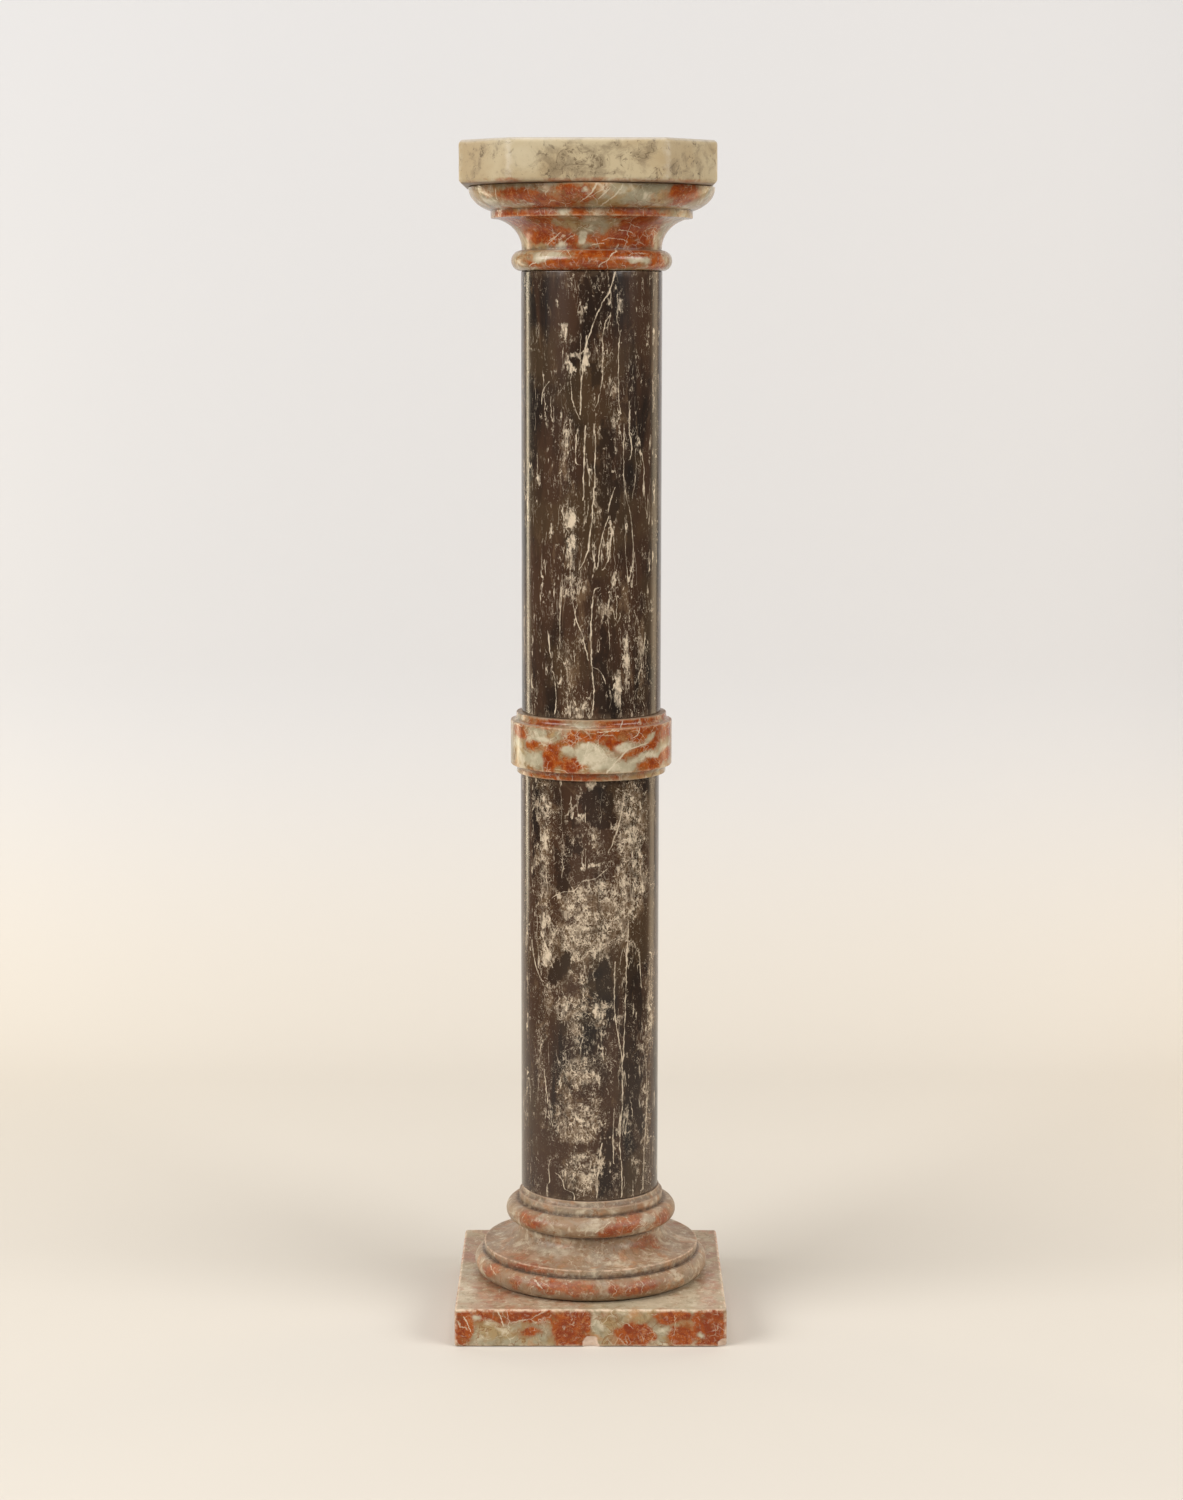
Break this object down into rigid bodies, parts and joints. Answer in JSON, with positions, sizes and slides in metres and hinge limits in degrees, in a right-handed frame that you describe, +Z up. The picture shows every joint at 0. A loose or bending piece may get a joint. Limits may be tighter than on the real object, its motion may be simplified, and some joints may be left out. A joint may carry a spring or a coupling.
{
  "type": "column pedestal",
  "caption": "Marble column pedestal: square plinth block, turned base, round shaft with a collar, moulded capital and a square top slab with cut corners.",
  "frame": {"origin": "middle of the plinth block's underside, on the axis of the turned stones", "axes": "+Z up along the column, -Y towards the front with the chipped edge, +X to the front's right"},
  "size_m": [0.27, 0.27, 1.18],
  "materials": {
    "plinth_block_marble": "polished red marble with grey and white patches",
    "base_marble": "worn, dull red and grey-beige marble",
    "lower_shaft_marble": "polished near-black marble with a cloudy cream network",
    "collar_marble": "polished red marble with cream patches",
    "upper_shaft_marble": "polished near-black marble with long upright cream veins",
    "capital_marble": "polished red marble with beige patches and white veins",
    "top_slab_marble": "honed ivory marble with grey clouds and stained edges"
  },
  "bodies": {
    "root": {"plinth_block": "plinth_block_marble", "base": "base_marble", "lower_shaft": "lower_shaft_marble", "collar": "collar_marble", "upper_shaft": "upper_shaft_marble", "capital": "capital_marble", "top_slab": "top_slab_marble"}
  },
  "joints": []
}
